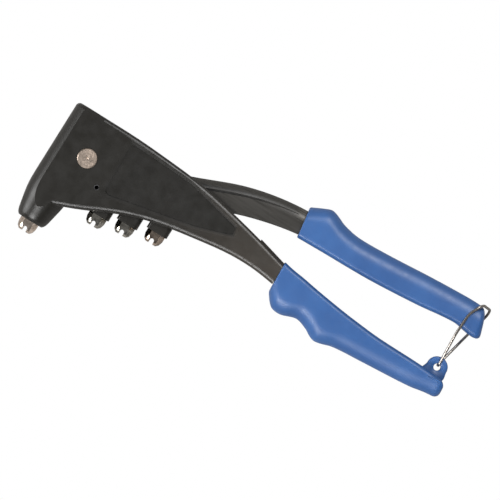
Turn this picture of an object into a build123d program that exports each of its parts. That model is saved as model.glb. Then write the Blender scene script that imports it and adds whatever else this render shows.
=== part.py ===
"""Lever-operated hand riveter, lying on its side with the handles latched shut.

Frame: +X points out of the nose along the rivet's mandrel, +Y runs from the head
towards the handles, +Z is the tool's thickness.  The origin is the middle of the
barrel's front face, where the nose piece seats.  Millimetres.
"""

import os
from math import atan2, cos, degrees, radians, sin, sqrt

from build123d import *

# ---- barrel and head -------------------------------------------------------------
BARREL_LENGTH = 73.2      # front face to rear end
BARREL_R = 12.8           # outside radius
MUZZLE_R = 7.7            # radius of the front face
OGIVE_LENGTH = 27.0       # bullet-shaped front of the barrel
BODY_HALF = 11.0          # half the thickness across the flat sides
MUZZLE_WALL = 12.0        # wall in front of the bore
HEAD_HEIGHT = 21.0        # straight part of the head's rear edge
EDGE_FILLET = 2.5
PANEL_DEPTH = 0.6         # the plain sunk panel on each side

# ---- fixed handle ----------------------------------------------------------------
GRIP_START = 138.0        # nose axis to the mouths of the grips
HANDLE_TOP = -55.8        # the handle's two edges where it enters the grip
HANDLE_BOTTOM = -43.0
HANDLE_HALF = 9.7         # half thickness there
TAPER_START = 50.0        # the sides are parallel up to here
TANG_HALF = 6.0           # half thickness of the bar inside the grip
CROWN_HEIGHT = 0.9        # raised strip along the handle's back, below the grip
CROWN_HALF = 6.2

# ---- grips -----------------------------------------------------------------------
GRIP_LENGTH = 114.0
GRIP_HALF = 11.0          # half thickness at the guard
GRIP_TAIL_HALF = 8.6      # and at the tail
GRIP_FILLET = 3.4
TAB_HALF = 2.0            # the latch's tab on the fixed handle's grip
TAB_R = 6.2
TAB_HOLE_R = 2.1
TAB_X = -52.8
UPPER_TAIL_X = -96.3      # outermost point of the lever's grip near its tail

# ---- lever -----------------------------------------------------------------------
PIVOT_X = -47.9
PIVOT_Y = 9.7
CHANNEL_HALF = 7.0        # outside of the folded channel
SHEET = 2.2
LOBE_R = 3.0              # rounded fork tip that pulls the collar
FORK_NECK = 4.8           # width of the arm between the eye and the lobe
LEVER_TRAVEL = 50.0       # degrees
SLOT_GAP = 0.5            # between the channel and the head's side walls
SWING_GAP = 0.8           # around the fork inside the head
SEAM_DEPTH = 0.7

# ---- pins ------------------------------------------------------------------------
PIN_R = 3.5
PIN_HEAD = 2.0            # thickness of the pivot pin's head
PIN_PROUD = 0.6           # how far the head stands out of the side
PIN_CLEARANCE = 0.05
BUSH_WALL = 1.0
RING = 0.9                # thickness of the spring ring
RING_GROOVE = 0.6
ROLL_PIN_R = 1.6
ROLL_PIN_WALL = 0.45
ROLL_PIN_X = -36.6
ROLL_PIN_Y = 23.0

# ---- nose pieces -----------------------------------------------------------------
HEX_FLATS = 9.9
NOSE_LENGTH = 7.0
NOSE_THREAD_R = 4.0
NOSE_SLOT = 2.8
SEAT = 0.5                # thickness of the round flange under the hexagon
FITTED_BORE_R = 1.3
SPARE_BORES_R = (0.9, 1.1, 1.6)
SPARE_Y = (31.9, 48.5, 65.8)
SPARE_X = (-23.4, -27.7, -32.6)
SPARE_SHANK = 8.0
BOSS_THICK_HALF = 7.4     # half the saw-tooth bosses' size along Z
THREAD_CLEARANCE = 0.05

# ---- puller ----------------------------------------------------------------------
STEM_GAP = 0.6            # between the stem's waist and the fork's arms
STEM_BORE_R = 1.8
COLLAR = 3.5
CASE_R = 6.2
CASE_LENGTH = 18.8
CASE_WALL = 1.3
CASE_MOUTH_R = 3.0
CONE_RUN = 10.5
SLIDE_CLEARANCE = 0.6     # between the jaw case and the barrel's bore
NUT_LENGTH = 3.5
NUT_INSET = 0.2           # the nut's corners lie this far inside the case's outside
STEM_ENGAGED = 2.6        # stem thread inside the jaw case
JAW_LENGTH = 9.0
JAW_BORE_R = 1.15
JAW_SLIT = 0.5
JAW_CLEARANCE = 0.06
PUSHER_LENGTH = 3.0
PUSHER_BORE_R = 1.5
PUSHER_TIP = 1.65
PLUG_LENGTH = 6.4
PLUG_RECESS = 0.8
MANDREL_EXIT_R = 2.6
FORK_CLEARANCE = 0.15

# ---- wire latch ------------------------------------------------------------------
WIRE_R = 0.8
LATCH_GAP = 0.45
LATCH_BEND = 2.2
LATCH_SHOULDER = 5.0      # bend radius at each end of the crossbar
LATCH_BOW = 1.7           # how far the near leg bows towards the head
LATCH_NEAR_RISE = 2.8     # how far the crossbar's ends lie beyond the tab
LATCH_FAR_RISE = 10.5

# ---- places that follow from the sizes above ---------------------------------------
BOSS_R = PIN_R + BUSH_WALL + 1.8      # eye of the lever around the pivot
PIN_HEAD_R = PIN_R + 2.25
RING_R = PIN_R + 1.7
STEM_R = CHANNEL_HALF - SHEET - STEM_GAP
NUT_R = CASE_R - NUT_INSET
BORE_R = CASE_R + SLIDE_CLEARANCE
COLLAR_R = CASE_R
PLUG_R = BORE_R + 0.2
CASE_THREAD_R = CASE_R - CASE_WALL
HEX_CORNER_R = HEX_FLATS / sqrt(3)
SEAT_R = HEX_FLATS / 2 + 0.25
BOSS_HALF = HEX_CORNER_R + 0.9        # half the saw-tooth bosses' size along Y
HALF_TRAVEL = radians(LEVER_TRAVEL / 2)
LOBE_X = PIVOT_X - PIVOT_Y * sin(HALF_TRAVEL)
LOBE_Y = PIVOT_Y - PIVOT_Y * cos(HALF_TRAVEL)
STROKE = 2 * PIVOT_Y * sin(HALF_TRAVEL)
COLLAR_FRONT = LOBE_X - LOBE_R - FORK_CLEARANCE
COLLAR_REAR = COLLAR_FRONT - COLLAR
PLUG_REAR = -BARREL_LENGTH + PLUG_RECESS
PLUG_FRONT = PLUG_REAR + PLUG_LENGTH
SLOT_HALF = CHANNEL_HALF + SLOT_GAP
NUT_REAR = PIVOT_X + PIN_R + 1.0
CASE_REAR = NUT_REAR + NUT_LENGTH
CASE_FRONT = CASE_REAR + CASE_LENGTH
BORE_FRONT = -MUZZLE_WALL
STEM_FRONT = CASE_REAR + STEM_ENGAGED
CONE_SLOPE = (CASE_THREAD_R - CASE_MOUTH_R) / CONE_RUN
PUSHER_FRONT = CASE_FRONT - JAW_LENGTH - 0.5
PUSHER_REAR = PUSHER_FRONT - PUSHER_LENGTH
GRIP_END = GRIP_START + GRIP_LENGTH
NOSE_SHANK = min(-(CASE_FRONT + STROKE) - 0.2, MUZZLE_WALL + 1.0)
SLOT_ROOT = 0.55 * NOSE_LENGTH


def neck(share):
    """A distance along the handles: 0 at the head's corner, 1 at the grips' mouths."""
    return HEAD_HEIGHT + share * (GRIP_START - HEAD_HEIGHT)


def along_grip(share):
    """A distance along the handles: 0 at the grips' mouths, 1 at their tails."""
    return GRIP_START + share * GRIP_LENGTH


TAB_Y = along_grip(0.932)
TANG_END = along_grip(0.82)


def slab(outline, low, high):
    """The area inside a closed outline in the XY plane, from Z = low to Z = high."""
    return Pos(0, 0, low) * extrude(make_face(outline), amount=high - low, dir=(0, 0, 1))


def box(x, y, z):
    """A block between the two values given for each of X, Y and Z."""
    size = Box(x[1] - x[0], y[1] - y[0], z[1] - z[0])
    return Pos((x[0] + x[1]) / 2, (y[0] + y[1]) / 2, (z[0] + z[1]) / 2) * size


def rod(radius, rear, front, y=0.0, z=0.0):
    """A cylinder along X between two X values."""
    return Pos((rear + front) / 2, y, z) * Rot(0, 90, 0) * Cylinder(radius, front - rear)


def post(radius, x, y, low, high):
    """A cylinder along Z between two Z values."""
    return Pos(x, y, (low + high) / 2) * Cylinder(radius, high - low)


def turned(points):
    """A solid of revolution around the X axis from (x, radius) corners."""
    return revolve(make_face(Polyline(*points, close=True)), Axis.X, 360)


def thickness(inset, y_end, end_half):
    """The body's thickness seen along X: parallel sides, then a long gentle taper."""
    half, end = BODY_HALF - inset, end_half - inset
    run = y_end - TAPER_START
    middle = half - (half - end) * 0.25
    side = Line((-BARREL_R, half), (TAPER_START, half))
    taper = ThreePointArc((TAPER_START, half), (TAPER_START + run / 2, middle), (y_end, end))
    far = Line((y_end, end), (y_end, -end))
    back = ThreePointArc((y_end, -end), (TAPER_START + run / 2, -middle), (TAPER_START, -half))
    low = Line((TAPER_START, -half), (-BARREL_R, -half))
    near = Line((-BARREL_R, -half), (-BARREL_R, half))
    face = make_face(side + taper + far + back + low + near)
    return Plane.YZ * face


# ---- fixed body ------------------------------------------------------------------
def body_tang():
    """The flat bar that the fixed handle's grip is pushed on to."""
    root = GRIP_START - 1.0
    top_root = (HANDLE_TOP + 3.3, root)
    bottom_root = (HANDLE_BOTTOM - 1.6, root)
    top = Spline(
        top_root, (-49.4, along_grip(0.3)), (-46.5, TANG_END),
        tangents=[(0.2, 1), (0.03, 1)],
    )
    end = Line((-46.5, TANG_END), (-39.0, TANG_END))
    bottom = Spline(
        (-39.0, TANG_END), (-38.2, along_grip(0.3)), bottom_root,
        tangents=[(0, -1), (-0.15, -1)],
    )
    return slab(top + end + bottom + Line(bottom_root, top_root), -TANG_HALF, TANG_HALF)


def body_top():
    """The rear edge of the head and the back of the fixed handle."""
    drop = HANDLE_TOP + BARREL_LENGTH
    spine = [(0.25, 0.07), (0.48, 0.21), (0.68, 0.47), (0.83, 0.70), (1.0, 1.0)]
    points = [(-BARREL_LENGTH, HEAD_HEIGHT)]
    points += [(-BARREL_LENGTH + drop * fall, neck(share)) for share, fall in spine]
    return Spline(*points, tangents=[(0, 1), (0.26, 1)])


def body_bottom():
    """The underside, from the handle back to the root of the nose boss."""
    web = [(0.88, -44.6), (0.74, -44.4), (0.58, -41.9), (0.42, -38.7), (0.27, -34.3),
           (0.15, -28.9), (0.04, -22.8)]
    points = [(HANDLE_BOTTOM, GRIP_START)]
    points += [(x, neck(share)) for share, x in web]
    points += [(-12.4, 0)]
    return Spline(*points, tangents=[(-0.15, -1), (0.36, -1)])


def body_blank():
    """Head plate and handle with rounded edges, before anything is cut from it."""
    top, bottom = body_top(), body_bottom()
    outline = Line((-BARREL_LENGTH, 0), (-BARREL_LENGTH, HEAD_HEIGHT)) + top
    outline += Line(top @ 1, bottom @ 0) + bottom + Line(bottom @ 1, (-BARREL_LENGTH, 0))
    plate = slab(outline, -BODY_HALF, BODY_HALF)
    wedge = extrude(thickness(0, GRIP_START + 1, HANDLE_HALF), amount=2 * BARREL_LENGTH, both=True)
    plate = plate & wedge
    long_edges = [
        edge for edge in plate.edges()
        if abs(edge.center().Z) > HANDLE_HALF - 2 and 1 < edge.center().Y < GRIP_START - 1
    ]
    return fillet(long_edges, EDGE_FILLET)


def body_crown():
    """The raised strip along the handle's back, between the slot and the grip."""
    back = body_top()
    low, high = neck(0.84), GRIP_START
    strip = Pos(-CROWN_HEIGHT, 0, 0) * back + Line(back @ 1 - (CROWN_HEIGHT, 0), (-50, high))
    strip += Line((-50, high), (-50, HEAD_HEIGHT)) + Line((-50, HEAD_HEIGHT), back @ 0 - (CROWN_HEIGHT, 0))
    return slab(strip, -CROWN_HALF, CROWN_HALF) & box((-90, -50), (low, high), (-9, 9))


def barrel_blank():
    """The round barrel with its bullet-shaped front, cut by the two flat sides."""
    ogive = Spline(
        (0.0, MUZZLE_R), (-0.22 * OGIVE_LENGTH, MUZZLE_R + 0.5 * (BARREL_R - MUZZLE_R)),
        (-0.5 * OGIVE_LENGTH, MUZZLE_R + 0.8 * (BARREL_R - MUZZLE_R)), (-OGIVE_LENGTH, BARREL_R),
        tangents=[(-0.75, 1), (-1, 0)],
    )
    rear = -BARREL_LENGTH
    back = Line((-OGIVE_LENGTH, BARREL_R), (rear + EDGE_FILLET, BARREL_R))
    corner = TangentArc(back @ 1, (rear, BARREL_R - EDGE_FILLET), tangent=(-1, 0))
    end = Line((rear, BARREL_R - EDGE_FILLET), (rear, 0))
    outline = ogive + back + corner + end + Line((rear, 0), (0, 0)) + Line((0, 0), (0, MUZZLE_R))
    barrel = revolve(make_face(outline), Axis.X, 360)
    return barrel & box((rear, 1), (-BARREL_R, BARREL_R), (-BODY_HALF, BODY_HALF))


def spare_boss(face_x, y):
    """A saw-tooth boss: a rounded block whose face carries one spare nose piece."""
    depth = SPARE_SHANK + 6.0
    section = RectangleRounded(2 * BOSS_HALF, 2 * BOSS_THICK_HALF, 2.6)
    return Pos(face_x - depth, y, 0) * extrude(Plane.YZ * section, amount=depth)


def lever_pocket():
    """The slot in which the lever swings, open along the back of the handle."""
    lobe_reach = PIVOT_Y * sin(HALF_TRAVEL) + LOBE_R + SWING_GAP
    floor_y = -LOBE_R - SWING_GAP
    outline = Polyline(
        (PIVOT_X - lobe_reach, floor_y), (PIVOT_X + lobe_reach, floor_y),
        (PIVOT_X + BOSS_R + 2.0, PIVOT_Y + 6.0), (-42.6, neck(0.12)), (-47.4, neck(0.27)),
        (-53.0, neck(0.47)), (-58.4, neck(0.64)), (-60.6, neck(0.76)),
        (-66.0, neck(0.82)), (-BARREL_LENGTH - 5, neck(0.82)),
        (-BARREL_LENGTH - 5, PIVOT_Y + 7.0), (PIVOT_X - 17.0, PIVOT_Y + 0.5),
        (PIVOT_X - lobe_reach, PIVOT_Y - 3.5),
        close=True,
    )
    return slab(outline, -SLOT_HALF, SLOT_HALF)


def side_panel():
    """The sunk rounded triangle on each side of the body."""
    corners = Polyline(
        (-69.0, neck(0.05)), (-35.6, neck(0.06)), (-47.5, neck(0.53)), (-54.6, neck(0.71)),
        (-59.6, neck(0.70)), (-67.4, neck(0.40)), close=True,
    )
    face = make_face(corners)
    face = fillet(face.vertices(), 3.2)
    prism = Pos(0, 0, -BODY_HALF - 1) * extrude(face, amount=2 * BODY_HALF + 2, dir=(0, 0, 1))
    profile = thickness(PANEL_DEPTH, GRIP_START + 1, HANDLE_HALF)
    return prism - extrude(profile, amount=2 * BARREL_LENGTH, both=True)


def body_casting():
    """Barrel, head, handle and tang in one die casting."""
    beyond = BODY_HALF + 1
    counterbore = BODY_HALF - PIN_HEAD + PIN_PROUD
    thread = NOSE_THREAD_R + THREAD_CLEARANCE
    body = body_blank() + barrel_blank()
    for face_x, y in zip(SPARE_X, SPARE_Y):
        body += spare_boss(face_x, y)
    for face_x, y in zip(SPARE_X, SPARE_Y):
        body -= rod(BOSS_HALF, face_x, face_x + 9, y)
    body += body_tang()
    body += body_crown()
    body -= lever_pocket()
    body -= side_panel()
    body -= rod(BORE_R, PLUG_FRONT, BORE_FRONT)
    body -= rod(PLUG_R, -BARREL_LENGTH - 1, PLUG_FRONT)
    body -= rod(thread, BORE_FRONT - 1, 1)
    for face_x, y in zip(SPARE_X, SPARE_Y):
        body -= rod(thread, face_x - SPARE_SHANK - 1, face_x + 1, y)
    body -= post(PIN_R + PIN_CLEARANCE, PIVOT_X, PIVOT_Y, -beyond, beyond)
    body -= post(PIN_HEAD_R + 0.25, PIVOT_X, PIVOT_Y, counterbore, beyond)
    body -= post(PIN_HEAD_R + 0.25, PIVOT_X, PIVOT_Y, -beyond, -counterbore)
    body -= post(ROLL_PIN_R, ROLL_PIN_X, ROLL_PIN_Y, -beyond, beyond)
    return body


def rear_plug():
    """The screwed plug that closes the barrel; spent mandrels leave through its hole."""
    rim = 0.6
    plug = turned([
        (PLUG_REAR, MANDREL_EXIT_R), (PLUG_REAR, PLUG_R - rim), (PLUG_REAR + rim, PLUG_R),
        (PLUG_FRONT, PLUG_R), (PLUG_FRONT, MANDREL_EXIT_R),
    ])
    return plug - box((PLUG_REAR - 1, PLUG_REAR + 1.3), (-PLUG_R, PLUG_R), (-1.1, 1.1))


def coil(wire_r, mean_r, turns, rear, front):
    """A compression spring around the nose axis, between two X values."""
    length = front - rear - 2 * wire_r
    path = Helix(pitch=length / turns, height=length, radius=mean_r)
    wire = sweep(Plane(origin=path @ 0, z_dir=path % 0) * Circle(wire_r), path=path)
    return Pos(rear + wire_r, 0, 0) * Rot(0, 90, 0) * wire


# ---- pins ------------------------------------------------------------------------
def pivot_pin():
    """Headed pin: a chamfered disc with a centre dimple, and a groove for its ring."""
    top = BODY_HALF + PIN_PROUD
    end = -BODY_HALF + 0.1
    seat = -BODY_HALF + PIN_HEAD - PIN_PROUD
    groove = (PIN_R - RING_GROOVE, seat - RING - 0.05)
    section = make_face(Polyline(
        (0, end), (PIN_R - 0.4, end), (PIN_R, end + 0.3), (PIN_R, groove[1]),
        groove, (groove[0], seat), (PIN_R, seat),
        (PIN_R, top - PIN_HEAD), (PIN_HEAD_R, top - PIN_HEAD), (PIN_HEAD_R, top - 0.5),
        (PIN_HEAD_R - 0.5, top), (0.75, top), (0, top - 0.6), close=True,
    ))
    pin = revolve(Plane.XZ * section, Axis.Z, 360)
    return Pos(PIVOT_X, PIVOT_Y, 0) * pin


def pin_ring():
    """The spring ring that keeps the pivot pin in, open on one side."""
    seat = -BODY_HALF + PIN_HEAD - PIN_PROUD
    groove = post(PIN_R - RING_GROOVE + 0.05, 0, 0, -BODY_HALF, 0)
    ring = post(RING_R, 0, 0, seat - RING, seat) - groove
    ring -= box((0, RING_R + 1), (-2.0, 2.0), (-BODY_HALF, 0))
    return Pos(PIVOT_X, PIVOT_Y, 0) * ring


def roll_pin():
    """A slit spring pin pressed in just below both side faces."""
    depth = BODY_HALF - 0.7
    tube = post(ROLL_PIN_R, 0, 0, -depth, depth)
    tube -= post(ROLL_PIN_R - ROLL_PIN_WALL, 0, 0, -depth - 1, depth + 1)
    tube -= box((0, ROLL_PIN_R + 1), (-0.25, 0.25), (-depth - 1, depth + 1))
    return Pos(ROLL_PIN_X, ROLL_PIN_Y, 0) * Rot(0, 0, 120) * tube


# ---- nose pieces -----------------------------------------------------------------
def nose(bore_r, shank):
    """A hexagonal nose piece on the X axis, seated at X = 0, with a slot across its tip."""
    hexagon = extrude(Plane.YZ * RegularPolygon(HEX_CORNER_R, 6), amount=NOSE_LENGTH)
    shoulder = 0.42 * NOSE_LENGTH
    dome = turned([
        (0, 0), (0, HEX_CORNER_R), (shoulder, HEX_CORNER_R),
        (0.8 * NOSE_LENGTH, 0.86 * HEX_CORNER_R), (NOSE_LENGTH, 0.6 * HEX_CORNER_R),
        (NOSE_LENGTH, 0),
    ])
    piece = (hexagon & dome) + rod(SEAT_R, 0, SEAT) + rod(NOSE_THREAD_R, -shank, 0)
    piece = chamfer(
        [edge for edge in piece.edges() if abs(edge.center().X + shank) < 0.01], 0.5
    )
    half = NOSE_SLOT / 2
    piece -= box((SLOT_ROOT + half, NOSE_LENGTH + 1), (-half, half), (-HEX_FLATS, HEX_FLATS))
    piece -= post(half, SLOT_ROOT + half, 0, -HEX_FLATS, HEX_FLATS)
    return piece - rod(bore_r, -shank - 1, NOSE_LENGTH + 1)


# ---- lever -----------------------------------------------------------------------
def lever_back():
    """The rounded back of the folded channel, from above the eye into the grip."""
    return Spline(
        (-56.2, neck(-0.03)), (-63.2, neck(0.19)), (-73.0, neck(0.424)), (-81.4, neck(0.60)),
        (-87.5, neck(0.80)), (-89.9, along_grip(0)), (-88.9, along_grip(0.3)),
        (-92.6, TANG_END),
        tangents=[(-0.2, 1), (-0.05, 1)],
    )


def lever_front():
    """The open edges of the channel, from inside the grip back to the eye."""
    tang = Spline(
        (-81.2, TANG_END), (-77.6, along_grip(0.33)), (-77.2, along_grip(-0.012)),
        tangents=[(0.05, -1), (-0.02, -1)],
    )
    step = Line(tang @ 1, (-75.2, along_grip(-0.022)))
    flange = Spline(
        step @ 1, (-72.3, neck(0.845)), (-65.2, neck(0.642)), (-53.5, neck(0.40)),
        (-44.8, neck(0.145)), (-42.9, neck(-0.03)),
        tangents=[(0.13, -1), (0.05, -1)],
    )
    return tang + step + flange


def lever_envelope():
    """The folded channel as if it were solid."""
    back, front = lever_back(), lever_front()
    outline = back + Line(back @ 1, (-81.2, TANG_END)) + front
    outline += Line((-42.9, neck(-0.03)), back @ 0)
    blank = slab(outline, -CHANNEL_HALF, CHANNEL_HALF)
    low, high = neck(-0.03) + 1, TANG_END - 1
    back_edges = []
    for edge in blank.edges():
        centre = edge.center()
        on_side = abs(abs(centre.Z) - CHANNEL_HALF) < 0.01 and edge.length > GRIP_LENGTH
        if on_side and low < centre.Y < high and distance_to_back(centre) < 1.0:
            back_edges.append(edge)
    return fillet(back_edges, CHANNEL_HALF - 0.4)


def distance_to_back(point):
    """How far a point lies from the channel's back, seen from the side."""
    return lever_back().distance_to(Vertex(point.X, point.Y, 0))


def lever_hollow():
    """The space inside the channel, open towards the fixed handle."""
    back = Pos(SHEET + 0.1, 0, 0) * lever_back()
    rear = Line(back @ 1, (back @ 1) + (0, 12))
    far = Line((back @ 1) + (0, 12), (-20, along_grip(0.95)))
    near = Line((-20, along_grip(0.95)), (-20, neck(-0.1)))
    outline = back + rear + far + near
    outline += Line((-20, neck(-0.1)), (back @ 0) - (0, 8)) + Line((back @ 0) - (0, 8), back @ 0)
    return slab(outline, SHEET - CHANNEL_HALF, CHANNEL_HALF - SHEET)


def lever_arm(low, high):
    """One fork arm: eye, neck and the rounded lobe that pulls the collar."""
    root = neck(0.05)
    web = Polyline(
        (PIVOT_X - BOSS_R, PIVOT_Y), (PIVOT_X + BOSS_R, PIVOT_Y),
        (-43.3, root), (-56.2, root), close=True,
    )
    arm = slab(web, low, high) + post(BOSS_R, PIVOT_X, PIVOT_Y, low, high)
    lean = atan2(LOBE_X - PIVOT_X, PIVOT_Y - LOBE_Y)
    middle = ((PIVOT_X + LOBE_X) / 2, (PIVOT_Y + LOBE_Y) / 2, (low + high) / 2)
    link = Pos(*middle) * Rot(0, 0, -degrees(lean)) * Box(FORK_NECK, PIVOT_Y, high - low)
    return arm + link + post(LOBE_R, LOBE_X, LOBE_Y, low, high)


def lever_seam():
    """A tapering crease pressed along each flange below the rounded back."""
    upper = Spline(
        (-62.2, neck(0.33)), (-70.1, neck(0.478)), (-81.8, neck(0.754)), (-85.4, neck(0.93))
    )
    lower = Spline(
        (-85.0, neck(0.93)), (-80.7, neck(0.754)), (-68.6, neck(0.478)), (-60.6, neck(0.33))
    )
    outline = upper + Line(upper @ 1, lower @ 0) + lower + Line(lower @ 1, upper @ 0)
    depth = CHANNEL_HALF - SEAM_DEPTH
    beyond = CHANNEL_HALF + 1
    return slab(outline, depth, beyond) + slab(outline, -beyond, -depth)


def lever_channel():
    """The moving lever: a folded steel channel that ends in a fork."""
    lever = lever_envelope() - lever_hollow()
    inner = CHANNEL_HALF - SHEET
    lever += lever_arm(inner, CHANNEL_HALF) + lever_arm(-CHANNEL_HALF, -inner)
    lever -= lever_seam()
    return lever - post(PIN_R + BUSH_WALL, PIVOT_X, PIVOT_Y, -BODY_HALF, BODY_HALF)


def pivot_bush():
    """The tube that joins the two arms and turns on the pivot pin."""
    tube = post(PIN_R + BUSH_WALL, PIVOT_X, PIVOT_Y, -CHANNEL_HALF, CHANNEL_HALF)
    return tube - post(PIN_R + PIN_CLEARANCE, PIVOT_X, PIVOT_Y, -BODY_HALF, BODY_HALF)


# ---- grips -----------------------------------------------------------------------
def grip_thickness():
    """A grip seen along X: thick at the hand guard, slimmer at the tail."""
    start, tail = GRIP_START - 12, GRIP_END + 8
    full, slim = along_grip(0.12), along_grip(0.82)
    near = Line((start, GRIP_HALF), (full, GRIP_HALF))
    side = Spline(near @ 1, (slim, GRIP_TAIL_HALF), tangents=[(1, 0), (1, 0)])
    end = Line(side @ 1, (tail, GRIP_TAIL_HALF))
    half = near + side + end
    outline = half + Line((tail, GRIP_TAIL_HALF), (tail, -GRIP_TAIL_HALF))
    outline += mirror(half, about=Plane.XZ) + Line((start, -GRIP_HALF), (start, GRIP_HALF))
    return extrude(Plane.YZ * make_face(outline), amount=200, both=True)


def grip_blank(outline):
    """A grip with every outer edge rounded."""
    blank = slab(outline, -GRIP_HALF, GRIP_HALF)
    upright = [edge for edge in blank.edges() if abs(edge.length - 2 * GRIP_HALF) < 0.01]
    blank = fillet(upright, GRIP_FILLET + 0.6)
    blank = blank & grip_thickness()
    rims = [edge for edge in blank.edges() if abs(edge.center().Z) > GRIP_TAIL_HALF - 0.5]
    return fillet(rims, GRIP_FILLET)


def upper_grip_outline():
    """Side view of the lever's grip, with its thumb guard and flared tail."""
    outer = [
        (-92.1, -0.04), (-95.6, 0.02), (-97.7, 0.078), (-95.2, 0.137), (-92.1, 0.25),
        (-92.7, 0.41), (-95.0, 0.675), (UPPER_TAIL_X, 0.90), (-95.3, 0.975), (-93.3, 1.004),
        (-87.4, 1.026), (-82.4, 1.036), (-79.2, 1.003), (-80.0, 0.915), (-78.3, 0.77),
        (-76.2, 0.60), (-74.7, 0.42), (-74.2, 0.26), (-73.9, 0.12), (-73.7, -0.014),
    ]
    edge = Spline(*[(x, along_grip(share)) for x, share in outer])
    return edge + Line(edge @ 1, edge @ 0)


def lower_grip_outline():
    """Side view of the fixed handle's grip: guard, finger scoop, bump and tail."""
    inner = [
        (-57.6, 0.006), (-54.7, 0.175), (-51.3, 0.385), (-49.3, 0.65), (-49.4, 0.84),
        (-51.4, 0.90), (-51.3, 0.975), (-46.8, 1.008), (-40.6, 1.012), (-37.3, 0.985),
        (-34.8, 0.858), (-32.4, 0.60), (-30.8, 0.43), (-27.7, 0.33), (-31.2, 0.265),
        (-33.4, 0.195), (-30.6, 0.117), (-30.9, 0.064), (-36.0, 0.024), (-41.0, 0.016),
    ]
    edge = Spline(*[(x, along_grip(share)) for x, share in inner])
    return edge + Line(edge @ 1, edge @ 0)


def upper_grip():
    """The moulded sleeve on the lever."""
    return grip_blank(upper_grip_outline()) - lever_envelope()


def lower_grip():
    """The moulded sleeve on the fixed handle, with the tab that carries the latch."""
    grip = grip_blank(lower_grip_outline())
    tab = post(TAB_R, TAB_X, TAB_Y, -TAB_HALF, TAB_HALF)
    tab += box((TAB_X, TAB_X + 7), (TAB_Y - TAB_R, TAB_Y + TAB_R - 0.6), (-TAB_HALF, TAB_HALF))
    grip = grip + tab - post(TAB_HOLE_R, TAB_X, TAB_Y, -GRIP_HALF, GRIP_HALF)
    return grip - body_tang() - body_crown() - body_blank()


# ---- puller ----------------------------------------------------------------------
def puller_stem():
    """Collar, waist and threaded end; the lever's fork sits around the waist."""
    stem = turned([
        (COLLAR_REAR, STEM_BORE_R), (COLLAR_REAR, COLLAR_R), (COLLAR_FRONT, COLLAR_R),
        (COLLAR_FRONT, STEM_R), (NUT_REAR, STEM_R), (NUT_REAR, CASE_THREAD_R),
        (STEM_FRONT, CASE_THREAD_R), (STEM_FRONT, STEM_BORE_R),
    ])
    flat = (COLLAR_REAR - 1, COLLAR_FRONT)
    stem -= box(flat, (STEM_R - 0.05, 9), (-9, 9))
    eye_clear = PIVOT_Y - BOSS_R - 0.3
    for side in (-1, 1):
        stem -= box(flat, (eye_clear, 9), tuple(sorted((side * (STEM_R + 0.2), side * 9))))
    return stem


def lock_nut():
    """The hexagon nut that locks the jaw case on the stem."""
    nut = Pos(NUT_REAR, 0, 0) * extrude(Plane.YZ * RegularPolygon(NUT_R, 6), amount=NUT_LENGTH)
    return nut - rod(CASE_THREAD_R + THREAD_CLEARANCE, NUT_REAR - 1, CASE_REAR + 1)


def jaw_case():
    """The tube whose inner cone closes the jaws."""
    rim = 0.8
    bore = CASE_THREAD_R + THREAD_CLEARANCE
    return turned([
        (CASE_REAR, bore), (CASE_REAR, CASE_R), (CASE_FRONT - rim, CASE_R),
        (CASE_FRONT, CASE_R - rim), (CASE_FRONT, CASE_MOUTH_R),
        (CASE_FRONT - CONE_RUN, bore),
    ])


def jaw_cone():
    """All three jaws before they are slit apart."""
    front = CASE_FRONT - 0.3
    rear = front - JAW_LENGTH
    mouth = CASE_MOUTH_R + 0.3 * CONE_SLOPE - JAW_CLEARANCE
    bevel = 1.9
    return turned([
        (rear, mouth + JAW_LENGTH * CONE_SLOPE - 1.0), (rear, mouth + JAW_LENGTH * CONE_SLOPE),
        (front, mouth), (front, JAW_BORE_R), (rear + bevel, JAW_BORE_R),
    ])


def jaw_direction(index):
    """The Y and Z parts of the direction in which a jaw opens."""
    turn = radians(120 * index)
    return cos(turn), sin(turn)


def jaws():
    """Three equal jaws, 120 degrees apart, with a narrow slit between neighbours."""
    first = jaw_cone()
    for side in (-1, 1):
        beyond = Pos(0, 0, side * (2 * CASE_R - JAW_SLIT / 2))
        block = Box(4 * CASE_LENGTH, 4 * CASE_R, 4 * CASE_R)
        first -= Rot(side * 60, 0, 0) * beyond * Pos(CASE_FRONT, 0, 0) * block
    return [Rot(120 * index, 0, 0) * first for index in range(3)]


def jaw_pusher():
    """The hollow wedge behind the jaws."""
    body_r = CASE_THREAD_R - 0.4
    return turned([
        (PUSHER_REAR, PUSHER_BORE_R), (PUSHER_REAR, body_r), (PUSHER_FRONT, body_r),
        (PUSHER_FRONT, 3.4), (PUSHER_FRONT + PUSHER_TIP, 1.7),
        (PUSHER_FRONT + PUSHER_TIP, PUSHER_BORE_R),
    ])


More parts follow.
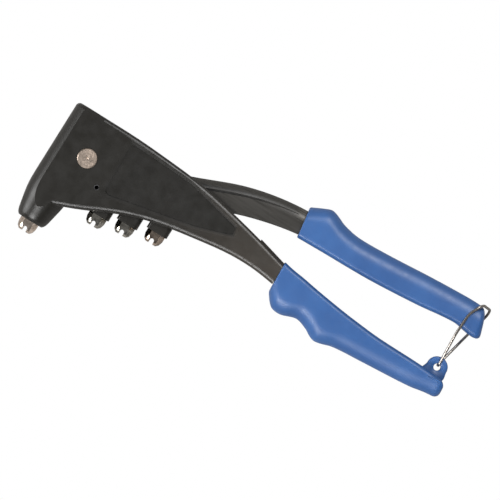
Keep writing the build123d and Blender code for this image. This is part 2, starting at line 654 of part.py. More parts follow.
# ---- latch -----------------------------------------------------------------------
def wire_latch():
    """A bent wire loop through the tab, reaching over the end of the lever's grip."""
    leg_z = GRIP_TAIL_HALF + LATCH_GAP + WIRE_R
    reach = TAB_X - UPPER_TAIL_X + WIRE_R
    eye = TAB_HALF + WIRE_R + 0.8
    eye_x = TAB_X - (TAB_HOLE_R - WIRE_R - 0.1)
    route = [
        ((eye_x, TAB_Y, 0.15), 0),
        ((eye_x, TAB_Y, eye), LATCH_BEND),
        ((TAB_X - 0.5 * reach, TAB_Y - LATCH_BOW, leg_z), 20.0),
        ((TAB_X - 0.8 * reach, TAB_Y - 0.7 * LATCH_BOW, leg_z), 14.0),
        ((TAB_X - reach, TAB_Y + LATCH_NEAR_RISE, leg_z), LATCH_SHOULDER),
        ((TAB_X - reach, TAB_Y + LATCH_FAR_RISE, -leg_z), LATCH_SHOULDER),
        ((TAB_X - 0.5 * reach, TAB_Y + 0.5 * LATCH_FAR_RISE, -leg_z), 20.0),
        ((eye_x, TAB_Y, -eye), LATCH_BEND),
        ((eye_x, TAB_Y, -0.15), 0),
    ]
    corners = [bend for point, bend in route[1:-1]]
    path = FilletPolyline(*[point for point, bend in route], radius=corners)
    return sweep(Plane(origin=path @ 0, z_dir=path % 0) * Circle(WIRE_R), path=path)


def assembly():
    """Every piece of the riveter, by name."""
    pieces = {
        "body_casting": body_casting(),
        "rear_plug": rear_plug(),
        "return_spring": coil(0.45, STEM_R + 0.8, 3.5, PLUG_FRONT, COLLAR_REAR),
        "pivot_pin": pivot_pin(),
        "pin_ring": pin_ring(),
        "roll_pin": roll_pin(),
        "nose_piece": nose(FITTED_BORE_R, NOSE_SHANK),
        "lever_channel": lever_channel(),
        "pivot_bush": pivot_bush(),
        "upper_grip": upper_grip(),
        "lower_grip": lower_grip(),
        "puller_stem": puller_stem(),
        "lock_nut": lock_nut(),
        "jaw_case": jaw_case(),
        "jaw_pusher": jaw_pusher(),
        "pusher_spring": coil(0.35, CASE_THREAD_R - 1.2, 2.5, STEM_FRONT, PUSHER_REAR),
        "wire_latch": wire_latch(),
    }
    for number, (bore_r, face_x, y) in enumerate(zip(SPARE_BORES_R, SPARE_X, SPARE_Y), 1):
        pieces[f"spare_nose_{number}"] = Pos(face_x, y, 0) * nose(bore_r, SPARE_SHANK)
    for number, piece in enumerate(jaws(), 1):
        pieces[f"jaw_{number}"] = piece
    return pieces


if __name__ == "__main__":
    os.makedirs("parts", exist_ok=True)
    for name, solid in assembly().items():
        export_step(solid, f"parts/{name}.step")
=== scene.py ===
"""Looks of the hand riveter: powder-coated head, folded steel lever, moulded grips,
nickel nose pieces and a sprung wire latch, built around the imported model.

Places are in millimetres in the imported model's own frame: +X out of the nose, +Y towards
the handles, +Z out of the side that faces up.  MM turns them into metres.
"""

import math

import bmesh
import bpy
from mathutils import Matrix, Vector


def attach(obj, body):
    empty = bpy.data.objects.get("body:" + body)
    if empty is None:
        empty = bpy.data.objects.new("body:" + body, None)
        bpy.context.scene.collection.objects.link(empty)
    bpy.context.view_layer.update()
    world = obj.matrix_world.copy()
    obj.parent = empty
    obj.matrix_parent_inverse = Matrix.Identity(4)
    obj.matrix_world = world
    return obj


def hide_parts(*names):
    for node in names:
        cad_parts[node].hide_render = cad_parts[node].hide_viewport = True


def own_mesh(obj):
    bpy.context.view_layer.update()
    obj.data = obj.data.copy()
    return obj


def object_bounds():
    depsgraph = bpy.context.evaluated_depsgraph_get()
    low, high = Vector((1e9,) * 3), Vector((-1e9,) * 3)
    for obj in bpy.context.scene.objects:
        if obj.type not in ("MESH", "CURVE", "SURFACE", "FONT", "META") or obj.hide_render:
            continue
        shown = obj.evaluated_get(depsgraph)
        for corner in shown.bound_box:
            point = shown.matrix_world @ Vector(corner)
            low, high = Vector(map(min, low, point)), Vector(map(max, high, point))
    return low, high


MM = 0.001

# ---- places on the tool ------------------------------------------------------------
PIVOT = (-47.9, 9.7)                  # middle of the lever's pin
SMALL_HOLE = (-36.6, 23.0)            # the small hole beside the pivot
PANEL = (                             # corners of the sunk panel on the side
    (-69.0, 26.9), (-35.6, 28.0), (-47.5, 83.0), (-54.6, 104.1), (-59.6, 102.9), (-67.4, 67.8),
)
GRIP_START, GRIP_LENGTH = 138.0, 114.0
GUARD_HALF, TAIL_HALF = 11.0, 8.6     # half thickness of a grip at its guard and its tail
TAPER_START, TAPER_RUN = 0.12, 0.70   # shares of a grip's length
MOUTH_ROUND, INNER_ROUND = 0.8, 2.6
TAB_CENTRE, TAB_HOLE_R = (-52.8, 244.25), 2.1
TAB_HALF, TAB_SOFT = 2.0, 0.8         # half thickness of the tab and rounding of its rim
LATCH_WIRE_R = 0.8

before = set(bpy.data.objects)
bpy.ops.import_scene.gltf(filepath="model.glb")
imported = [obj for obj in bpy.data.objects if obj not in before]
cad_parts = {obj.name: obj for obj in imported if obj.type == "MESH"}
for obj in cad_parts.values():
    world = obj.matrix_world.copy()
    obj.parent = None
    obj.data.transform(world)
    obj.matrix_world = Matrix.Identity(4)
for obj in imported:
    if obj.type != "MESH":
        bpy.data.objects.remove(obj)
CAD_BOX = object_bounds()


# ---- camera, light and floor -------------------------------------------------------
def set_camera():
    """Straight above the tool, rolled so that the nose is low on the left."""
    middle = Vector((-52.9, 116.8, 0.0)) * MM
    distance, span = 1600 * MM, 289 * MM
    across, up = Vector((-0.530, 0.848, 0.0)), Vector((-0.848, -0.530, 0.0))
    data = bpy.data.cameras.new("camera")
    data.sensor_width = 36.0
    data.lens = data.sensor_width * distance / span
    data.clip_start = 0.01
    camera = bpy.data.objects.new("camera", data)
    turn = Matrix((across, up, Vector((0, 0, 1)))).transposed()
    camera.matrix_world = Matrix.Translation(middle + Vector((0, 0, distance))) @ turn.to_4x4()
    bpy.context.scene.collection.objects.link(camera)
    bpy.context.scene.camera = camera


def soft_light(name, place, size, power):
    """A square soft box that faces the middle of the tool."""
    data = bpy.data.lights.new(name, "AREA")
    data.shape = "SQUARE"
    data.size = size
    data.energy = power
    light = bpy.data.objects.new(name, data)
    light.location = place
    aim = Vector((-0.05, 0.10, 0.0)) - Vector(place)
    light.rotation_euler = aim.to_track_quat("-Z", "Y").to_euler()
    bpy.context.scene.collection.objects.link(light)


def set_tent():
    """A tent that is bright at the horizon, dark above it and pale grey overhead."""
    world = bpy.data.worlds.new("tent")
    world.use_nodes = True
    tree = world.node_tree
    background = tree.nodes["Background"]
    place = tree.nodes.new("ShaderNodeTexCoord").outputs["Generated"]
    height = tree.nodes.new("ShaderNodeSeparateXYZ")
    tree.links.new(place, height.inputs[0])
    ramp = tree.nodes.new("ShaderNodeValToRGB")
    tree.links.new(height.outputs["Z"], ramp.inputs["Fac"])
    stops = ((0.0, 0.80), (0.16, 0.45), (0.40, 0.12), (0.80, 0.21))
    while len(ramp.color_ramp.elements) < len(stops):
        ramp.color_ramp.elements.new(1.0)
    for element, (position, grey) in zip(ramp.color_ramp.elements, stops):
        element.position = position
        element.color = (grey, grey, grey, 1)
    tree.links.new(ramp.outputs["Color"], background.inputs["Color"])
    background.inputs["Strength"].default_value = 1.0
    bpy.context.scene.world = world


def floor_paper(depth):
    """Pure white to the eye and grey paper to what it lights, dark below the small hole."""
    paper = bpy.data.materials.new("light_table")
    paper.use_nodes = True
    tree = paper.node_tree
    grey = tree.nodes["Principled BSDF"]
    grey.inputs["Base Color"].default_value = (0.30, 0.29, 0.28, 1)
    grey.inputs["Roughness"].default_value = 0.9
    glow = tree.nodes.new("ShaderNodeEmission")
    seen = tree.nodes.new("ShaderNodeLightPath").outputs["Is Camera Ray"]
    place = tree.nodes.new("ShaderNodeTexCoord").outputs["Object"]
    from_hole = tree.nodes.new("ShaderNodeVectorMath")
    from_hole.operation = "DISTANCE"
    from_hole.inputs[1].default_value = (SMALL_HOLE[0] * MM, SMALL_HOLE[1] * MM, depth)
    tree.links.new(place, from_hole.inputs[0])
    clear = tree.nodes.new("ShaderNodeMath")
    clear.operation = "GREATER_THAN"
    clear.inputs[1].default_value = 6 * MM
    tree.links.new(from_hole.outputs["Value"], clear.inputs[0])
    lit = tree.nodes.new("ShaderNodeMath")
    lit.operation = "MULTIPLY"
    tree.links.new(seen, lit.inputs[0])
    tree.links.new(clear.outputs[0], lit.inputs[1])
    blend = tree.nodes.new("ShaderNodeMixShader")
    for made, socket in ((lit.outputs[0], 0), (grey.outputs[0], 1), (glow.outputs[0], 2)):
        tree.links.new(made, blend.inputs[socket])
    tree.links.new(blend.outputs[0], tree.nodes["Material Output"].inputs["Surface"])
    return paper


def set_studio():
    """The tent, three soft boxes and the floor."""
    set_tent()
    soft_light("box_back", (-0.75, 0.20, 0.80), 0.45, 9.0)
    soft_light("box_front", (0.60, 0.05, 0.75), 0.45, 10.0)
    soft_light("box_nose", (0.25, -0.75, 0.35), 0.50, 6.0)
    bpy.context.scene.view_settings.view_transform = "Standard"
    mesh = bpy.data.meshes.new("floor")
    half, depth = 6.0, CAD_BOX[0][2] - 0.2 * MM
    mesh.from_pydata(
        [(-half, -half, depth), (half, -half, depth), (half, half, depth), (-half, half, depth)],
        [], [(0, 1, 2, 3)],
    )
    mesh.materials.append(floor_paper(depth))
    floor = bpy.data.objects.new("floor", mesh)
    bpy.context.scene.collection.objects.link(floor)


# ---- material building blocks ------------------------------------------------------
class Finish:
    """A node material on the piece's own coordinates, in metres."""

    def __init__(self, name):
        self.material = bpy.data.materials.new(name)
        self.material.use_nodes = True
        self.tree = self.material.node_tree
        self.shader = self.tree.nodes["Principled BSDF"]
        self.place = self.tree.nodes.new("ShaderNodeTexCoord").outputs["Object"]

    def node(self, kind, **inputs):
        made = self.tree.nodes.new(kind)
        for key, value in inputs.items():
            self.feed(made, key.replace("_", " "), value)
        return made

    def feed(self, node, key, value):
        socket = node.inputs[key]
        if isinstance(value, bpy.types.NodeSocket):
            self.tree.links.new(value, socket)
        else:
            socket.default_value = value

    def set(self, **inputs):
        for key, value in inputs.items():
            self.feed(self.shader, key.replace("_", " "), value)

    def mapped(self, scale=(1, 1, 1), centre=(0, 0, 0), turn=(0, 0, 0)):
        """The coordinates moved so that centre is the origin, then turned and scaled."""
        moved = self.node("ShaderNodeMapping", Vector=self.place)
        moved.vector_type = "POINT"
        moved.inputs["Location"].default_value = [-c for c in centre]
        turned = self.node("ShaderNodeMapping", Vector=moved.outputs[0])
        turned.inputs["Rotation"].default_value = turn
        turned.inputs["Scale"].default_value = scale
        return turned.outputs[0]

    def noise(self, size, detail=3.0, rough=0.55, where=None):
        """Noise with features of about that many millimetres, from 0 to 1."""
        made = self.node(
            "ShaderNodeTexNoise", Vector=where or self.place, Scale=1 / (size * MM),
            Detail=detail, Roughness=rough,
        )
        return made.outputs["Fac"]

    def ramp(self, value, *stops):
        """A grey or coloured ramp; a stop is (position, grey) or (position, colour)."""
        made = self.node("ShaderNodeValToRGB", Fac=value)
        ramp = made.color_ramp
        while len(ramp.elements) < len(stops):
            ramp.elements.new(1.0)
        for element, (position, shade) in zip(ramp.elements, stops):
            element.position = position
            colour = (shade,) * 3 if isinstance(shade, (int, float)) else shade
            element.color = (*colour, 1)
        return made.outputs["Color"]

    def mix(self, share, first, second):
        made = self.tree.nodes.new("ShaderNodeMix")
        made.data_type = "RGBA"
        for socket, value in ((0, share), (6, first), (7, second)):
            if isinstance(value, bpy.types.NodeSocket):
                self.tree.links.new(value, made.inputs[socket])
            elif socket:
                made.inputs[socket].default_value = (*value, 1)
            else:
                made.inputs[socket].default_value = value
        return made.outputs[2]

    def maths(self, work, first, second=0.0, clamp=False):
        made = self.tree.nodes.new("ShaderNodeMath")
        made.operation = work
        made.use_clamp = clamp
        for socket, value in ((0, first), (1, second)):
            if isinstance(value, bpy.types.NodeSocket):
                self.tree.links.new(value, made.inputs[socket])
            else:
                made.inputs[socket].default_value = value
        return made.outputs[0]

    def axis(self, letter):
        made = self.node("ShaderNodeSeparateXYZ", Vector=self.place)
        return made.outputs[letter]

    def between(self, value, low, high):
        """0 at low, 1 at high, straight in between."""
        made = self.tree.nodes.new("ShaderNodeMapRange")
        self.tree.links.new(value, made.inputs["Value"])
        made.inputs["From Min"].default_value = low
        made.inputs["From Max"].default_value = high
        return made.outputs["Result"]

    def bump(self, *layers):
        """Stacked bumps; a layer is (height, strength, depth in millimetres)."""
        normal = None
        for height, strength, depth in layers:
            made = self.node(
                "ShaderNodeBump", Height=height, Strength=strength, Distance=depth * MM
            )
            if normal is not None:
                self.tree.links.new(normal, made.inputs["Normal"])
            normal = made.outputs[0]
        self.tree.links.new(normal, self.shader.inputs["Normal"])


# ---- finishes ----------------------------------------------------------------------
def panel_share(f, edge):
    """1 inside the sunk panel, falling to 0 over the given millimetres outside it."""
    depth = None
    for (x, y), (next_x, next_y) in zip(PANEL, PANEL[1:] + PANEL[:1]):
        inward = Vector((y - next_y, next_x - x, 0)).normalized()
        dot = f.node("ShaderNodeVectorMath")
        dot.operation = "DOT_PRODUCT"
        f.feed(dot, 0, f.place)
        dot.inputs[1].default_value = inward
        side = f.maths("SUBTRACT", dot.outputs["Value"], inward.dot(Vector((x, y, 0))) * MM)
        depth = side if depth is None else f.maths("MINIMUM", depth, side)
    return f.between(depth, -edge * MM, 0.3 * MM)


def powder_coat():
    """Black powder coat: fine orange peel, a few dusty scuffs, browner on the handle."""
    f = Finish("black_powder_coat")
    along = f.between(f.axis("Y"), 60 * MM, 140 * MM)
    cloud = f.noise(14, 4)
    base = f.mix(along, (0.0068, 0.0060, 0.0045), (0.038, 0.032, 0.026))
    panel = panel_share(f, 1.2)
    base = f.mix(panel, base, (0.0068, 0.0062, 0.0050))
    base = f.mix(f.ramp(cloud, (0.35, 0.0), (0.75, 0.30)), base, (0.014, 0.013, 0.011))
    scuff = f.ramp(f.noise(2.2, 6, 0.7), (0.66, 0.0), (0.74, 1.0))
    scuff = f.maths("MULTIPLY", scuff, f.ramp(f.noise(30, 2), (0.5, 0.0), (0.62, 0.5)))
    f.set(Base_Color=f.mix(scuff, base, (0.060, 0.056, 0.050)))
    f.set(Roughness=f.ramp(f.noise(6, 4), (0.3, 0.32), (0.7, 0.42)))
    f.set(Specular_IOR_Level=0.42)
    f.bump(
        (panel_share(f, 1.6), 0.45, -0.5), (f.noise(0.9, 2, 0.5), 0.25, 0.05),
        (f.noise(0.25, 2), 0.12, 0.02),
    )
    return f.material


def lever_coat():
    """Thin black paint on drawn steel, rubbed through in flecks, with painted shade along the step
    in its sides.
    """
    f = Finish("black_lever_paint")
    drawn = f.noise(1.2, 5, 0.6, f.mapped((1.0, 0.06, 1.0), turn=(0, 0, 0.12)))
    base = f.ramp(drawn, (0.3, (0.017, 0.0155, 0.013)), (0.75, (0.026, 0.0235, 0.020)))
    # painted shade: a near-black line along the step in the lever's sides, 6.2 to 6.5 mm out from
    # the middle. It is full towards the pivot and fades out between Y 85 and 125 mm, before the
    # grip.
    across = f.maths("ABSOLUTE", f.axis("Z"))
    outside = f.between(across, 6.8 * MM, 6.5 * MM)
    step_painted_shade = f.maths("MULTIPLY", outside, f.between(across, 6.0 * MM, 6.2 * MM))
    step_painted_shade = f.maths("MULTIPLY", step_painted_shade, f.between(f.axis("Y"), 125 * MM, 85 * MM), clamp=True)
    base = f.mix(step_painted_shade, base, (0.004, 0.0035, 0.003))
    fleck = f.ramp(f.noise(1.1, 6, 0.72), (0.66, 0.0), (0.70, 1.0))
    fleck = f.maths("MULTIPLY", fleck, f.ramp(f.noise(9, 3), (0.50, 0.0), (0.60, 0.9)))
    near_grip = f.maths(
        "MULTIPLY", f.between(f.axis("Y"), 127 * MM, 134 * MM),
        f.between(f.axis("X"), -82 * MM, -86 * MM), clamp=True,
    )
    rub = f.maths("MULTIPLY", near_grip, f.ramp(drawn, (0.45, 0.0), (0.62, 0.35)))
    worn = f.maths("MAXIMUM", fleck, rub)
    f.set(Base_Color=f.mix(worn, base, (0.30, 0.27, 0.23)))
    f.set(Metallic=f.maths("MULTIPLY", worn, 0.8))
    f.set(Roughness=f.ramp(drawn, (0.3, 0.34), (0.7, 0.48)))
    f.bump((drawn, 0.08, 0.05), (f.noise(0.5, 3), 0.12, 0.03))
    return f.material


def vinyl(name, deep, pale):
    """Soft moulded vinyl: slight mottling and a fine grain."""
    f = Finish(name)
    f.set(Base_Color=f.ramp(f.noise(18, 3), (0.30, deep), (0.72, pale)))
    f.set(Roughness=f.ramp(f.noise(3, 4), (0.3, 0.40), (0.7, 0.50)))
    f.set(Specular_IOR_Level=0.5)
    f.set(Sheen_Weight=0.08)
    f.bump((f.noise(4.0, 2), 0.10, 0.10))
    return f.material


def nickel(name, bright, dull, tarnish):
    """Nickel plate with a skin of handling marks and darker tarnish in patches."""
    f = Finish(name)
    patch = f.ramp(f.noise(3.2, 5, 0.6), (0.42, 0.0), (0.66, tarnish))
    f.set(Base_Color=f.mix(patch, bright, dull))
    f.set(Metallic=1.0)
    f.set(Roughness=f.ramp(f.noise(1.4, 4), (0.3, 0.08), (0.7, 0.22)))
    f.bump((f.noise(0.5, 3), 0.08, 0.02))
    return f.material


def turned_steel(name, centre, colour):
    """Lathe-turned steel: fine rings around an axis along Z."""
    f = Finish(name)
    flat = f.mapped((1, 1, 0), centre)
    radius = f.node("ShaderNodeVectorMath", Vector=flat)
    radius.operation = "LENGTH"
    wobble = f.maths("MULTIPLY", f.noise(2.0, 2), 0.10 * MM)
    distance = f.maths("ADD", radius.outputs["Value"], wobble)
    rings = f.maths("SINE", f.maths("MULTIPLY", distance, 2 * math.pi / (0.32 * MM)))
    stain = f.ramp(f.noise(2.5, 4), (0.4, 0.0), (0.7, 0.5))
    f.set(Base_Color=f.mix(stain, colour, (0.42, 0.36, 0.31)))
    f.set(Metallic=1.0)
    f.set(Roughness=f.ramp(f.noise(1.0, 4), (0.3, 0.26), (0.7, 0.42)))
    f.bump((rings, 0.20, 0.02), (f.noise(0.4, 3), 0.1, 0.02))
    return f.material


def oiled_steel(name, colour=(0.20, 0.20, 0.21), rough=0.34):
    """Plain machined steel with a film of oil."""
    f = Finish(name)
    marks = f.noise(0.8, 4, 0.6, f.mapped((0.2, 1, 1)))
    f.set(Base_Color=f.mix(f.ramp(marks, (0.35, 0.0), (0.7, 0.6)), colour, (0.07, 0.065, 0.06)))
    f.set(Metallic=1.0)
    f.set(Roughness=f.ramp(marks, (0.3, rough - 0.08), (0.7, rough + 0.1)))
    f.bump((marks, 0.2, 0.02))
    return f.material


def dress(material, *names):
    """Gives CAD nodes a finish."""
    for name in names:
        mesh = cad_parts[name].data
        mesh.materials.clear()
        mesh.materials.append(material)


def dress_nodes():
    """Every CAD node gets a finish."""
    dress(powder_coat(), "body_casting")
    dress(lever_coat(), "lever_channel")
    dress(BLUE, "upper_grip", "lower_grip")
    dress(nickel("bright_nickel", (0.82, 0.70, 0.60), (0.26, 0.20, 0.16), 0.8), "nose_piece")
    olive = nickel("dark_nickel", (0.50, 0.48, 0.43), (0.10, 0.095, 0.08), 0.9)
    dress(olive, "spare_nose_1", "spare_nose_2")
    dress(nickel("warm_nickel", (0.55, 0.45, 0.37), (0.16, 0.13, 0.105), 0.8), "spare_nose_3")
    pin_middle = (PIVOT[0] * MM, PIVOT[1] * MM, 0)
    dress(turned_steel("pin_steel", pin_middle, (0.64, 0.52, 0.43)), "pivot_pin")
    dress(
        oiled_steel("oiled_steel"), "pin_ring", "roll_pin", "rear_plug", "pivot_bush", "puller_stem"
    )
    dress(oiled_steel("blued_steel", (0.10, 0.10, 0.11)), "lock_nut", "jaw_case", "jaw_pusher")
    dress(oiled_steel("ground_steel", (0.45, 0.44, 0.43), 0.26), "jaw_1", "jaw_2", "jaw_3")
    dress(SPRING_STEEL, "return_spring", "pusher_spring", "wire_latch")


# ---- pieces made here --------------------------------------------------------------
def place_piece(name, mesh, material, body, *nodes):
    """Links a finished mesh, gives it its finish and lets it ride on a body."""
    tidy = bmesh.new()
    tidy.from_mesh(mesh)
    bmesh.ops.remove_doubles(tidy, verts=tidy.verts, dist=0.001 * MM)
    bmesh.ops.recalc_face_normals(tidy, faces=tidy.faces)
    tidy.to_mesh(mesh)
    tidy.free()
    mesh.polygons.foreach_set("use_smooth", [True] * len(mesh.polygons))
    mesh.materials.clear()
    mesh.materials.append(material)
    piece = bpy.data.objects.new(name, mesh)
    bpy.context.scene.collection.objects.link(piece)
    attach(piece, body)
    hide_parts(*nodes)
    return piece


def eased(rows, at):
    """A row read off a smooth curve through rows whose first number is the place."""
    last = len(rows) - 1
    index = next((i for i in range(last) if at <= rows[i + 1][0]), last - 1)
    before, start = rows[max(index - 1, 0)], rows[index]
    end, after = rows[index + 1], rows[min(index + 2, last)]
    run = end[0] - start[0]
    t = (at - start[0]) / run
    made = []
    for a, b, c, d in zip(before[1:], start[1:], end[1:], after[1:]):
        slope_in = (c - a) / (end[0] - before[0]) * run
        slope_out = (d - b) / (after[0] - start[0]) * run
        made.append(
            (2 * t**3 - 3 * t**2 + 1) * b + (t**3 - 2 * t**2 + t) * slope_in
            + (3 * t**2 - 2 * t**3) * c + (t**3 - t**2) * slope_out
        )
    return made


def grip_section(outer, inner, half, inset, round_out, round_in):
    """A closed ring: a broad soft rounding on the outer side, a tight one on the inner."""
    width = (inner - outer).length
    across = (inner - outer) / width
    flat_edge, first_step, inner_rise = 1.2, 0.6, 3.4
    out_rise, in_rise = half - flat_edge, min(inner_rise, half)
    profile = [(0.0, 0.0), (0.0, first_step)]
    for k in range(1, 11):
        a = math.radians(9 * k)
        profile.append((round_out * (1 - math.cos(a)), half - out_rise * (1 - math.sin(a))))
    middle = width - round_in
    profile += [(round_out + (middle - round_out) * k / 4, half) for k in range(1, 4)]
    for k in range(9):
        a = math.radians(11.25 * k)
        profile.append((middle + round_in * math.sin(a), half - in_rise * (1 - math.cos(a))))
    profile.append((width, 0.0))
    ring = profile + [(u, -z) for u, z in reversed(profile[1:-1])]
    squeeze, flatten = (width - 2 * inset) / width, (half - inset) / half
    points = []
    for u, z in ring:
        spot = outer + across * (inset + u * squeeze)
        points.append((spot.x, spot.y, z * flatten))
    return points


def grip_mesh(rows, round_out, round_in, mouth_r, tail_r):
    """Rings from the mouth to the tail of a grip, closed at both ends."""
    def spot(x, share):
        return Vector((x, GRIP_START + share * GRIP_LENGTH))

    low, high = rows[0][0], rows[-1][0]
    places = []
    for k in range(6):
        a = math.radians(18 * k)
        rounding = mouth_r * (1 - math.cos(a)) / GRIP_LENGTH
        places.append((low + rounding, mouth_r * (1 - math.sin(a))))
    start, end = low + mouth_r / GRIP_LENGTH, high - tail_r / GRIP_LENGTH
    places += [(start + (end - start) * k / 150, 0.0) for k in range(1, 150)]
    for k in range(9):
        a = math.radians(90 - 11.25 * k)
        places.append((high - tail_r * (1 - math.cos(a)) / GRIP_LENGTH, tail_r * (1 - math.sin(a))))
    points, faces = [], []
    for at, inset in places:
        outer_x, outer_share, inner_x, inner_share = eased(rows, at)
        drop = min(max((at - TAPER_START) / TAPER_RUN, 0), 1)
        half = GUARD_HALF - (GUARD_HALF - TAIL_HALF) * drop * drop * (3 - 2 * drop)
        points += grip_section(
            spot(outer_x, outer_share), spot(inner_x, inner_share), half, inset, round_out, round_in
        )
    count = len(points) // len(places)
    for ring in range(len(places) - 1):
        for k in range(count):
            here, beside = ring * count + k, ring * count + (k + 1) % count
            faces.append((here, beside, beside + count, here + count))
    faces.append(tuple(range(count)))
    faces.append(tuple(range(len(points) - count, len(points))))
    return points, faces


def tab_mesh(centre, hole, half, soft):
    """The latch's tab: a rounded ear around a hole, running into the grip on one side."""
    count, plain_reach, bevel = 72, 6.2, 0.4
    profile = []
    for k in range(count):
        a = 2 * math.pi * k / count
        towards_grip = max(math.cos(a), 0.0)
        reach = plain_reach + 1.6 * towards_grip**2
        reach += 3.0 * max(-math.sin(2 * a), 0.0) ** 3 * (a > math.pi)
        reach += 1.8 * max(math.sin(2 * a), 0.0) ** 2 * (a < math.pi)
        profile.append((math.cos(a), math.sin(a), reach))
    corner = 0.3 * soft
    levels = [
        ("hole", hole, bevel - half), ("hole", hole, half - bevel), ("hole", hole + bevel, half),
        ("rim", soft, half), ("rim", corner, half - corner), ("rim", 0.0, half - soft),
        ("rim", 0.0, soft - half), ("rim", corner, corner - half), ("rim", soft, -half),
        ("hole", hole + bevel, -half),
    ]
    points, faces = [], []
    for kind, size, z in levels:
        for x, y, reach in profile:
            r = size if kind == "hole" else reach - size
            points.append((centre[0] + r * x, centre[1] + r * y, z))
    for level in range(len(levels)):
        after = (level + 1) % len(levels)
        for k in range(count):
            beside = (k + 1) % count
            faces.append((
                level * count + k, level * count + beside, after * count + beside, after * count + k
            ))
    return points, faces


def shells(*parts):
    """One mesh, in metres, from several lists of points and faces in millimetres."""
    points, faces = [], []
    for part_points, part_faces in parts:
        shift = len(points)
        points += [Vector(p) * MM for p in part_points]
        faces += [tuple(i + shift for i in face) for face in part_faces]
    mesh = bpy.data.meshes.new("moulding")
    mesh.from_pydata([tuple(p) for p in points], [], faces)
    return mesh


def make_grips(material):
    """Both moulded sleeves.  A row is (place, outer x, outer share, inner x, inner share),
    the shares running from 0 at the mouths to 1 at the tails."""
    upper = [
        (-0.03, -92.3, -0.042, -73.5, -0.018), (0.03, -95.8, 0.020, -73.7, 0.040),
        (0.066, -97.5, 0.058, -73.8, 0.072), (0.090, -97.3, 0.083, -73.9, 0.098),
        (0.120, -96.1, 0.112, -74.0, 0.126), (0.165, -94.0, 0.158, -74.1, 0.172),
        (0.26, -92.2, 0.25, -74.3, 0.27), (0.42, -92.8, 0.415, -74.9, 0.425),
        (0.675, -95.1, 0.675, -77.2, 0.675), (0.88, -96.4, 0.875, -79.9, 0.885),
        (0.96, -96.4, 0.950, -78.5, 0.972), (1.018, -95.6, 0.990, -78.0, 1.042),
    ]
    lower = [
        (0.002, -38.2, 0.006, -57.8, -0.002), (0.040, -33.2, 0.040, -57.0, 0.030),
        (0.066, -30.9, 0.066, -56.4, 0.060), (0.117, -30.5, 0.117, -55.6, 0.117),
        (0.195, -33.3, 0.197, -54.2, 0.195), (0.262, -31.3, 0.262, -53.1, 0.262),
        (0.302, -28.9, 0.300, -52.5, 0.302), (0.330, -27.8, 0.330, -52.1, 0.330),
        (0.365, -28.4, 0.365, -51.6, 0.365), (0.43, -30.6, 0.43, -50.8, 0.43),
        (0.60, -32.3, 0.60, -49.3, 0.60), (0.85, -34.7, 0.855, -48.9, 0.845),
        (0.95, -36.6, 0.950, -48.3, 0.940), (1.012, -37.3, 1.018, -47.6, 1.006),
    ]
    place_piece(
        "upper_grip_moulding", shells(grip_mesh(upper, 9.3, INNER_ROUND, MOUTH_ROUND, 3.8)),
        material, "lever", "upper_grip",
    )
    tab = tab_mesh(TAB_CENTRE, TAB_HOLE_R, TAB_HALF, TAB_SOFT)
    place_piece(
        "lower_grip_moulding", shells(grip_mesh(lower, 10.0, INNER_ROUND, MOUTH_ROUND, 3.4), tab),
        material, "body", "lower_grip",
    )


def rule_tree(name, sizes, build):
    """A geometry rule with named inputs that ends in real geometry with a material."""
    tree = bpy.data.node_groups.new(name, "GeometryNodeTree")
    tree.interface.new_socket("Geometry", in_out="OUTPUT", socket_type="NodeSocketGeometry")
    tree.interface.new_socket("Geometry", in_out="INPUT", socket_type="NodeSocketGeometry")
    for label in sizes:
        tree.interface.new_socket(label, in_out="INPUT", socket_type="NodeSocketFloat")
    tree.interface.new_socket("Material", in_out="INPUT", socket_type="NodeSocketMaterial")
    given = tree.nodes.new("NodeGroupInput")
    shape = build(tree, given.outputs)
    for kind in ("SetShadeSmooth", "RealizeInstances", "SetMaterial"):
        step = tree.nodes.new("GeometryNode" + kind)
        tree.links.new(shape, step.inputs["Mesh" if "Mesh" in step.inputs else "Geometry"])
        if "Material" in step.inputs:
            tree.links.new(given.outputs["Material"], step.inputs["Material"])
        shape = step.outputs[0]
    tree.links.new(shape, tree.nodes.new("NodeGroupOutput").inputs[0])
    return tree


def round_bar(tree, path, radius):
    """A round bar along a path."""
    ring = tree.nodes.new("GeometryNodeCurvePrimitiveCircle")
    ring.inputs["Resolution"].default_value = 20
    tree.links.new(radius, ring.inputs["Radius"])
    bar = tree.nodes.new("GeometryNodeCurveToMesh")
    bar.inputs["Fill Caps"].default_value = True
    tree.links.new(path, bar.inputs["Curve"])
    tree.links.new(ring.outputs["Curve"], bar.inputs["Profile Curve"])
    return bar.outputs["Mesh"]


def bent_wire(tree, given):
    """Wire along the points of the mesh that the rule sits on."""
    path = tree.nodes.new("GeometryNodeMeshToCurve")
    tree.links.new(given["Geometry"], path.inputs["Mesh"])
    return round_bar(tree, path.outputs[0], given["Wire Radius"])


def wound_wire(tree, given):
    """A coil around the X axis from X = Start."""
    coil = tree.nodes.new("GeometryNodeCurveSpiral")
    coil.inputs["Resolution"].default_value = 40
    for socket, label in (
        ("Rotations", "Turns"), ("Start Radius", "Coil Radius"),
        ("End Radius", "Coil Radius"), ("Height", "Length"),
    ):
        tree.links.new(given[label], coil.inputs[socket])
    start = tree.nodes.new("ShaderNodeCombineXYZ")
    tree.links.new(given["Start"], start.inputs["X"])
    turned = tree.nodes.new("GeometryNodeTransform")
    turned.inputs["Rotation"].default_value = (0, math.pi / 2, 0)
    tree.links.new(start.outputs[0], turned.inputs["Translation"])
    wire = round_bar(tree, coil.outputs["Curve"], given["Wire Radius"])
    tree.links.new(wire, turned.inputs["Geometry"])
    return turned.outputs[0]


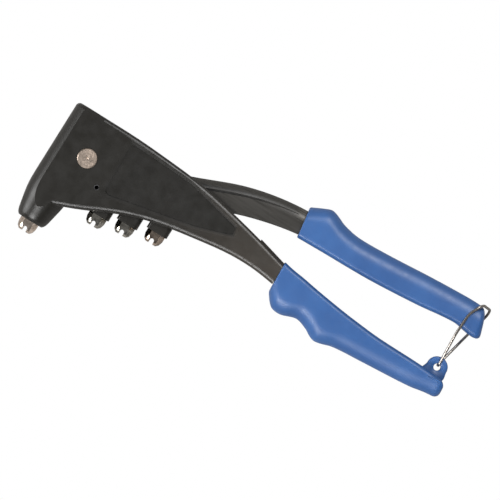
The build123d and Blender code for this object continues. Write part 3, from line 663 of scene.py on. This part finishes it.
def ruled_piece(name, tree, values, material, body, node, start=None):
    """Bakes a rule into a plain mesh that stands for a CAD node."""
    holder = bpy.data.objects.new(name + "_rule", start or bpy.data.meshes.new("empty"))
    bpy.context.scene.collection.objects.link(holder)
    modifier = holder.modifiers.new("rule", "NODES")
    modifier.node_group = tree
    for item in tree.interface.items_tree:
        if item.in_out == "INPUT" and item.name in values:
            modifier[item.identifier] = values[item.name]
        if item.name == "Material":
            modifier[item.identifier] = material
    view = bpy.context.evaluated_depsgraph_get()
    mesh = bpy.data.meshes.new_from_object(holder.evaluated_get(view))
    bpy.data.objects.remove(holder)
    return place_piece(name, mesh, material, body, node)


def softened(route):
    """A path through (point, bend radius) corners, each corner turned into an arc."""
    made = [Vector(route[0][0])]
    for (before, _), (corner, bend), (after, _) in zip(route, route[1:], route[2:]):
        corner = Vector(corner)
        back, on = (Vector(before) - corner).normalized(), (Vector(after) - corner).normalized()
        half = back.angle(on) / 2
        centre = corner + (back + on).normalized() * (bend / math.sin(half))
        first = corner + back * (bend / math.tan(half)) - centre
        last = corner + on * (bend / math.tan(half)) - centre
        for k in range(13):
            made.append(centre + first.normalized().slerp(last.normalized(), k / 12) * bend)
    return made + [Vector(route[-1][0])]


def make_wires(steel):
    """The wire latch and both springs."""
    tab_x, tab_y, leg_z = -52.8, 244.248, 9.85
    reach, eye, eye_x, end_gap = 44.3, 3.6, -54.0, 0.15
    eye_bend, end_bend, bow_bend, shoulder_bend = 2.2, 5.0, 20.0, 14.0
    middle_x, shoulder_x, end_x = (tab_x - share * reach for share in (0.5, 0.8, 1))
    route = [
        ((eye_x, tab_y, end_gap), 0), ((eye_x, tab_y, eye), eye_bend),
        ((middle_x, tab_y - 1.7, leg_z), bow_bend),
        ((shoulder_x, tab_y - 1.19, leg_z), shoulder_bend),
        ((end_x, tab_y + 2.8, leg_z), end_bend), ((end_x, tab_y + 10.5, -leg_z), end_bend),
        ((middle_x, tab_y + 5.25, -leg_z), bow_bend),
        ((eye_x, tab_y, -eye), eye_bend), ((eye_x, tab_y, -end_gap), 0),
    ]
    points = [tuple(p * MM) for p in softened(route)]
    path = bpy.data.meshes.new("latch_path")
    path.from_pydata(points, [(k, k + 1) for k in range(len(points) - 1)], [])
    bent = rule_tree("bent_wire", ("Wire Radius",), bent_wire)
    ruled_piece(
        "latch_wire", bent, {"Wire Radius": LATCH_WIRE_R * MM}, steel, "latch", "wire_latch", path
    )
    wound = rule_tree(
        "wound_wire", ("Turns", "Coil Radius", "Wire Radius", "Length", "Start"), wound_wire
    )
    coils = (
        ("return_spring_coil", "return_spring", "body", 3.5, 5.0, 0.45, -66.0, -58.65),
        ("pusher_spring_coil", "pusher_spring", "puller", 2.5, 3.7, 0.35, -37.3, -33.6),
    )
    for name, node, body, turns, coil_r, wire_r, rear, front in coils:
        spring = ruled_piece(name, wound, {
            "Turns": turns, "Coil Radius": coil_r * MM, "Wire Radius": wire_r * MM,
            "Length": (front - rear - 2 * wire_r) * MM, "Start": (rear + wire_r) * MM,
        }, steel, body, node)
        if body == "puller":
            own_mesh(spring)


# ---- everything --------------------------------------------------------------------
set_camera()
set_studio()
BLUE = vinyl("blue_vinyl", (0.015, 0.068, 0.215), (0.023, 0.090, 0.262))
SPRING_STEEL = oiled_steel("spring_wire", (0.36, 0.33, 0.30), 0.32)
dress_nodes()
make_grips(BLUE)
make_wires(SPRING_STEEL)
